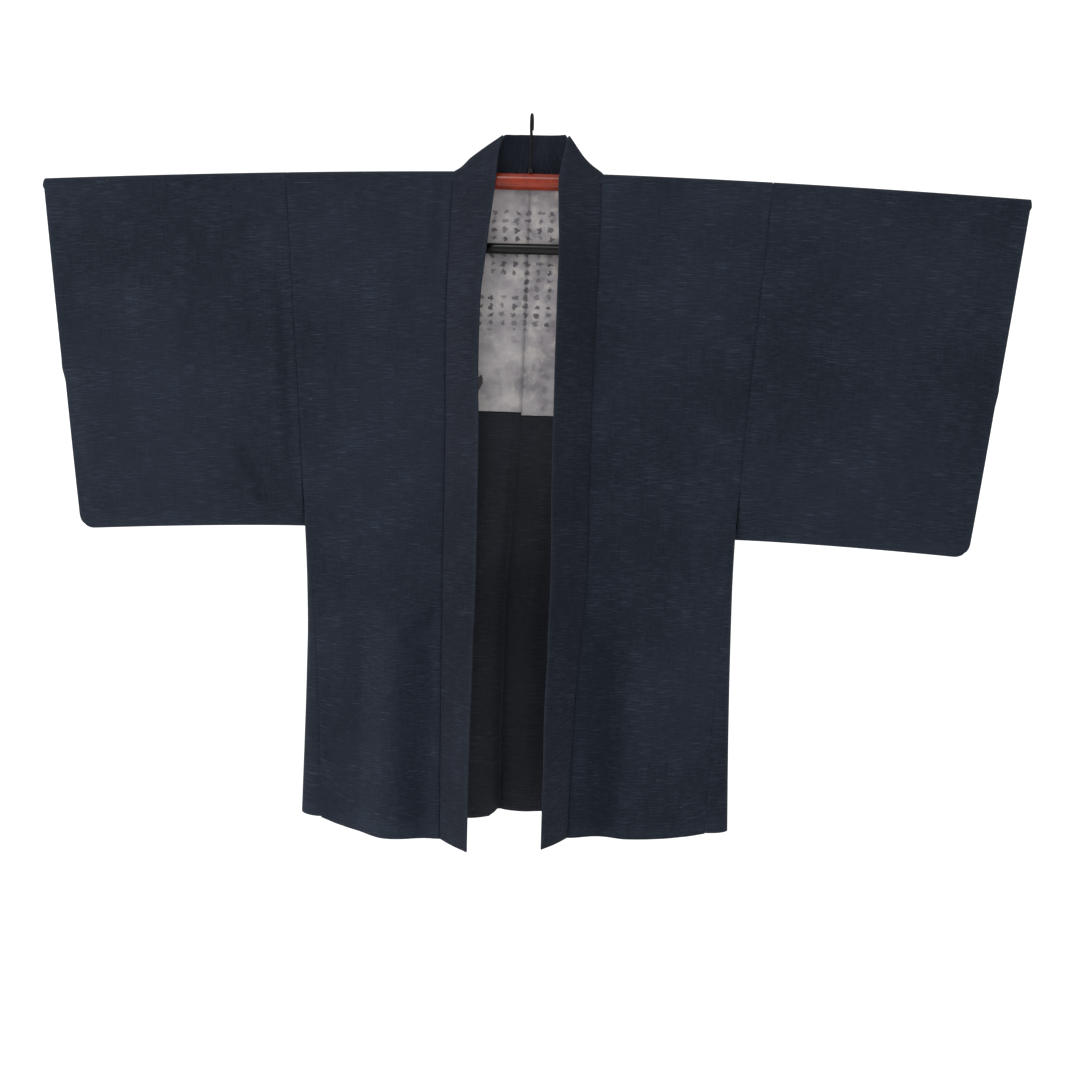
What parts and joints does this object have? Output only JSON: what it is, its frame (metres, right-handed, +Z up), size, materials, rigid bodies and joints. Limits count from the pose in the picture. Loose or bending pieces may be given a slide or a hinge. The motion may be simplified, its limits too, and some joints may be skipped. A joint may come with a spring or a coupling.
{
  "type": "haori jacket on a kimono hanger",
  "caption": "Lined haori jacket in dark navy slub silk, hung open and flat by its sleeves on a telescoping kimono hanger with a lower bar and a hook.",
  "frame": {"origin": "bearing point inside the crown of the hanger's hook", "axes": "+X to the wearer's left, -Y to the front, +Z up"},
  "size_m": [1.358, 0.1292, 1.0052],
  "materials": {
    "navy_tsumugi": "matte slub-woven silk in dark navy, with pale blue-grey slubs across the width",
    "grey_silk_lining": "smooth warm grey silk with soft ink-wash clouds and small ink dabs",
    "vermilion_plastic": "satin-gloss vermilion",
    "black_plastic": "satin black",
    "dark_steel": "blackened wire"
  },
  "bodies": {
    "root": {"body_right": "navy_tsumugi", "body_left": "navy_tsumugi", "sleeve_right": "navy_tsumugi", "sleeve_left": "navy_tsumugi", "gusset_right": "navy_tsumugi", "gusset_left": "navy_tsumugi", "collar": "navy_tsumugi", "lining_right": "grey_silk_lining", "lining_left": "grey_silk_lining", "hem_facing_right": "navy_tsumugi", "hem_facing_left": "navy_tsumugi", "hanger_tube": "vermilion_plastic", "hanger_arm_right": "vermilion_plastic", "hanger_arm_left": "vermilion_plastic", "hanger_bar": "black_plastic", "hanger_link_right": "black_plastic", "hanger_link_left": "black_plastic", "hanger_hook_socket": "black_plastic", "hanger_hook": "dark_steel"}
  },
  "joints": []
}
